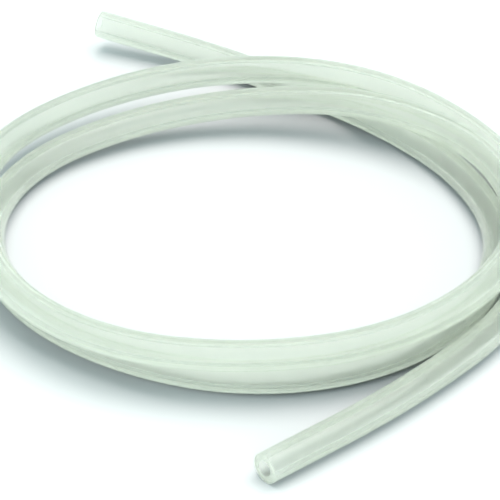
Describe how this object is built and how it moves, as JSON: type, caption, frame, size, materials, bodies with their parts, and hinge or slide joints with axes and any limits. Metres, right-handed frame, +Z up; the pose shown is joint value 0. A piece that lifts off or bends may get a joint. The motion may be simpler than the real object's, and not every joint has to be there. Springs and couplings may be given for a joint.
{
  "type": "silicone tubing coil",
  "caption": "Loose coil of thick-walled translucent laboratory tubing, lying on a bench with both cut ends free.",
  "frame": {"origin": "on the bench, below the middle of the whole part", "axes": "+Z up from the bench; the near end lies towards -Y and the far end towards +Y, so +Y is the longest extent"},
  "size_m": [0.2359, 0.3237, 0.0245],
  "materials": {
    "silicone": "smooth, translucent, milky with a faint green tint"
  },
  "bodies": {
    "root": {"tube": "silicone"}
  },
  "joints": []
}
